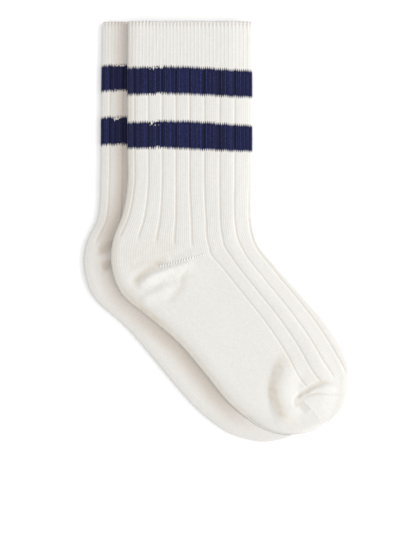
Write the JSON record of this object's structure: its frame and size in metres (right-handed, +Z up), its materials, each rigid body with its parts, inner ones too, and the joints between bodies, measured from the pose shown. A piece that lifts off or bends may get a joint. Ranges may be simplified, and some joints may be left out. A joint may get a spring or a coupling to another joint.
{
  "type": "pair of socks",
  "caption": "Ribbed cotton crew socks laid flat with one overlapping the other, with fine-ribbed cuffs, turned heels and seamed toes.",
  "frame": {"origin": "middle of the footprint of the pair, at the level that it lies on", "axes": "+Z up, +Y towards the cuffs, +X towards the side that the toes point to"},
  "size_m": [0.1936, 0.303, 0.0104],
  "materials": {
    "cotton_knit": "matt"
  },
  "bodies": {
    "root": {"front_sock": "cotton_knit", "rear_sock": "cotton_knit"}
  },
  "joints": []
}
